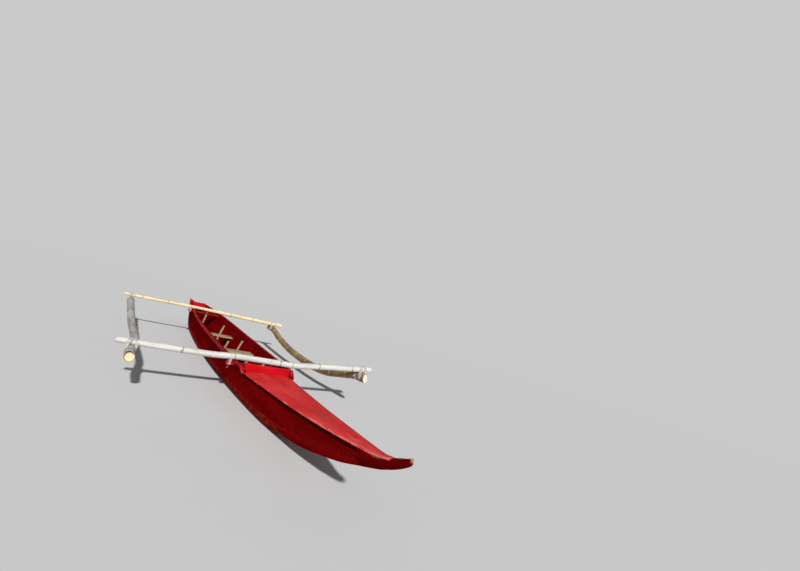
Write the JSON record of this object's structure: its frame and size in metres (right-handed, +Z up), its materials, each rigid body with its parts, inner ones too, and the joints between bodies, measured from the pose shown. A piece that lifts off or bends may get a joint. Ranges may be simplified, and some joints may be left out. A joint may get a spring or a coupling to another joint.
{
  "type": "double outrigger canoe",
  "caption": "Narrow planked canoe with a decked bow and stern, lashed bamboo booms across its gunwales and a pole float under the boom ends on each side.",
  "frame": {"origin": "on the floor under the middle of the canoe's box", "axes": "+X towards the bow, +Y to port, +Z up"},
  "size_m": [8.186, 2.709, 0.5648],
  "materials": {
    "hull_paint": "red paint on planks, worn",
    "deck_paint": "faded red paint",
    "rail_paint": "red paint, worn at the edges",
    "bare_wood": "unpainted, weathered",
    "white_bamboo": "white paint on bamboo",
    "yellow_bamboo": "dry bamboo",
    "grey_pole": "bare weathered wood",
    "brown_bamboo": "dry brown bamboo",
    "cord": "twisted cord"
  },
  "bodies": {
    "root": {"hull_base": "hull_paint", "side_plank_port_aft": "hull_paint", "side_plank_port_middle": "hull_paint", "side_plank_port_fore": "hull_paint", "side_plank_starboard_aft": "hull_paint", "side_plank_starboard_middle": "hull_paint", "side_plank_starboard_fore": "hull_paint", "top_strake_port_aft": "hull_paint", "top_strake_port_middle": "hull_paint", "top_strake_port_fore": "hull_paint", "top_strake_starboard_aft": "hull_paint", "top_strake_starboard_middle": "hull_paint", "top_strake_starboard_fore": "hull_paint", "gunwale_rail_port_aft": "rail_paint", "gunwale_rail_port_fore": "rail_paint", "gunwale_rail_starboard_aft": "rail_paint", "gunwale_rail_starboard_fore": "rail_paint", "stem_post": "hull_paint", "stern_post": "hull_paint", "foredeck": "deck_paint", "aftdeck": "deck_paint", "fore_coaming": "deck_paint", "aft_coaming": "deck_paint", "rib_1": "bare_wood", "rib_2": "bare_wood", "rib_3": "bare_wood", "rib_4": "bare_wood", "rib_5": "bare_wood", "rib_6": "bare_wood", "seat_1": "bare_wood", "seat_2": "bare_wood", "fore_beam": "hull_paint", "aft_beam": "hull_paint", "fore_boom": "white_bamboo", "aft_boom": "yellow_bamboo", "float_starboard": "grey_pole", "float_port": "brown_bamboo", "fore_lashing_port": "cord", "fore_lashing_starboard": "cord", "aft_lashing_port": "cord", "aft_lashing_starboard": "cord", "fore_float_lashing_port": "cord", "fore_float_lashing_starboard": "cord", "aft_float_lashing_port": "cord", "aft_float_lashing_starboard": "cord"}
  },
  "joints": []
}
